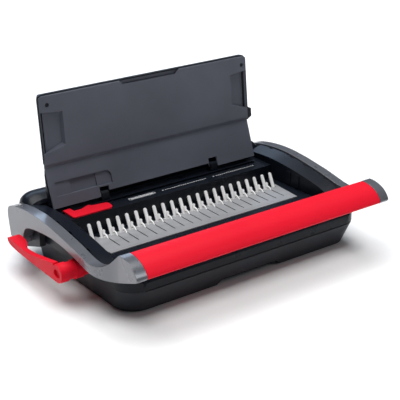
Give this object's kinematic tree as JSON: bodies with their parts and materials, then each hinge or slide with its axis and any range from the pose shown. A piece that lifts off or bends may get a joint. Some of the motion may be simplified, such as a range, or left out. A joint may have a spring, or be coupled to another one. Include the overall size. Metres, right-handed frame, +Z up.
{
  "type": "comb binding machine",
  "caption": "Hand-operated office machine with a U-shaped handle that punches sheets, a slotted plate with a row of tines and a side lever that opens a plastic comb, and a hinged lid.",
  "frame": {"origin": "bottom centre of the bounding box, on the table between the feet", "axes": "+X to the right of the user, along the row of tines; +Y away from the user, to the back; +Z up"},
  "size_m": [0.438, 0.3034, 0.2225],
  "materials": {
    "charcoal": "fine grain",
    "black": "semi-gloss",
    "slate": "fine grain",
    "silver": "satin silver paint",
    "red": "satin",
    "rubber": "matt",
    "steel": "brushed",
    "bright": "plated, satin",
    "nylon": "plain"
  },
  "bodies": {
    "case": {"base_tray": "charcoal", "foot_front_left": "rubber", "foot_front_right": "rubber", "foot_rear_left": "rubber", "foot_rear_right": "rubber", "case_screw_front_left": "steel", "case_screw_front_right": "steel", "case_screw_rear_left": "steel", "case_screw_rear_right": "steel", "upper_housing": "black", "side_cover_left": "black", "side_cover_right": "black", "rear_cover": "black", "pivot_cheek_left": "charcoal", "pivot_cheek_right": "charcoal", "handle_bush_left": "nylon", "handle_bush_right": "nylon", "lever_bush_left": "nylon", "lever_bush_right": "nylon", "side_frame_left": "steel", "side_frame_right": "steel", "die_plate_front": "steel", "die_plate_rear": "steel", "paper_stop": "steel", "opener_plate": "steel", "tine_strip": "bright", "hinge_bracket_left": "black", "hinge_bracket_right": "black", "hinge_pin_left": "steel", "hinge_pin_right": "steel"},
    "handle": {"handle_arm_left": "silver", "handle_arm_right": "silver", "grip_cover": "red", "grip_base": "charcoal", "grip_beam": "steel", "handle_shaft": "steel", "cam_left": "steel", "cam_right": "steel"},
    "punch": {"punch_bar": "steel"},
    "lever": {"opener_lever": "red", "lever_shaft": "steel", "crank_left": "steel", "crank_right": "steel"},
    "slider": {"hook_slider": "bright"},
    "lid": {"lid_liner": "slate", "lid_cover": "black", "lid_screw_left": "black", "lid_screw_right": "black"},
    "guide": {"edge_guide": "red"},
    "drawer": {"chip_drawer": "charcoal"}
  },
  "joints": [
    {"name": "handle_hinge", "type": "hinge", "parent": "case", "child": "handle", "pos_m": [0.009, 0.11775, 0.043], "axis": [-1, 0, 0], "range_deg": [0, 62]},
    {"name": "punch_slide", "type": "slide", "parent": "case", "child": "punch", "axis": [0, 1, 0], "range_m": [0, 0.0062]},
    {"name": "lever_hinge", "type": "hinge", "parent": "case", "child": "lever", "pos_m": [0.009, -0.02025, 0.043], "axis": [1, 0, 0], "range_deg": [0, 90]},
    {"name": "hook_slide", "type": "slide", "parent": "case", "child": "slider", "axis": [0, -1, 0], "range_m": [0, 0.0262]},
    {"name": "lid_hinge", "type": "hinge", "parent": "case", "child": "lid", "pos_m": [0.009, 0.08975, 0.078], "axis": [1, 0, 0], "range_deg": [0, 96]},
    {"name": "guide_slide", "type": "slide", "parent": "case", "child": "guide", "axis": [1, 0, 0], "range_m": [0, 0.088]},
    {"name": "drawer_slide", "type": "slide", "parent": "case", "child": "drawer", "axis": [1, 0, 0], "range_m": [0, 0.2]}
  ],
  "couplings": [
    {"joint": "punch_slide", "follows": "handle_hinge", "m_per_rad": 0.005711},
    {"joint": "hook_slide", "follows": "lever_hinge", "m_per_rad": 0.016656}
  ]
}
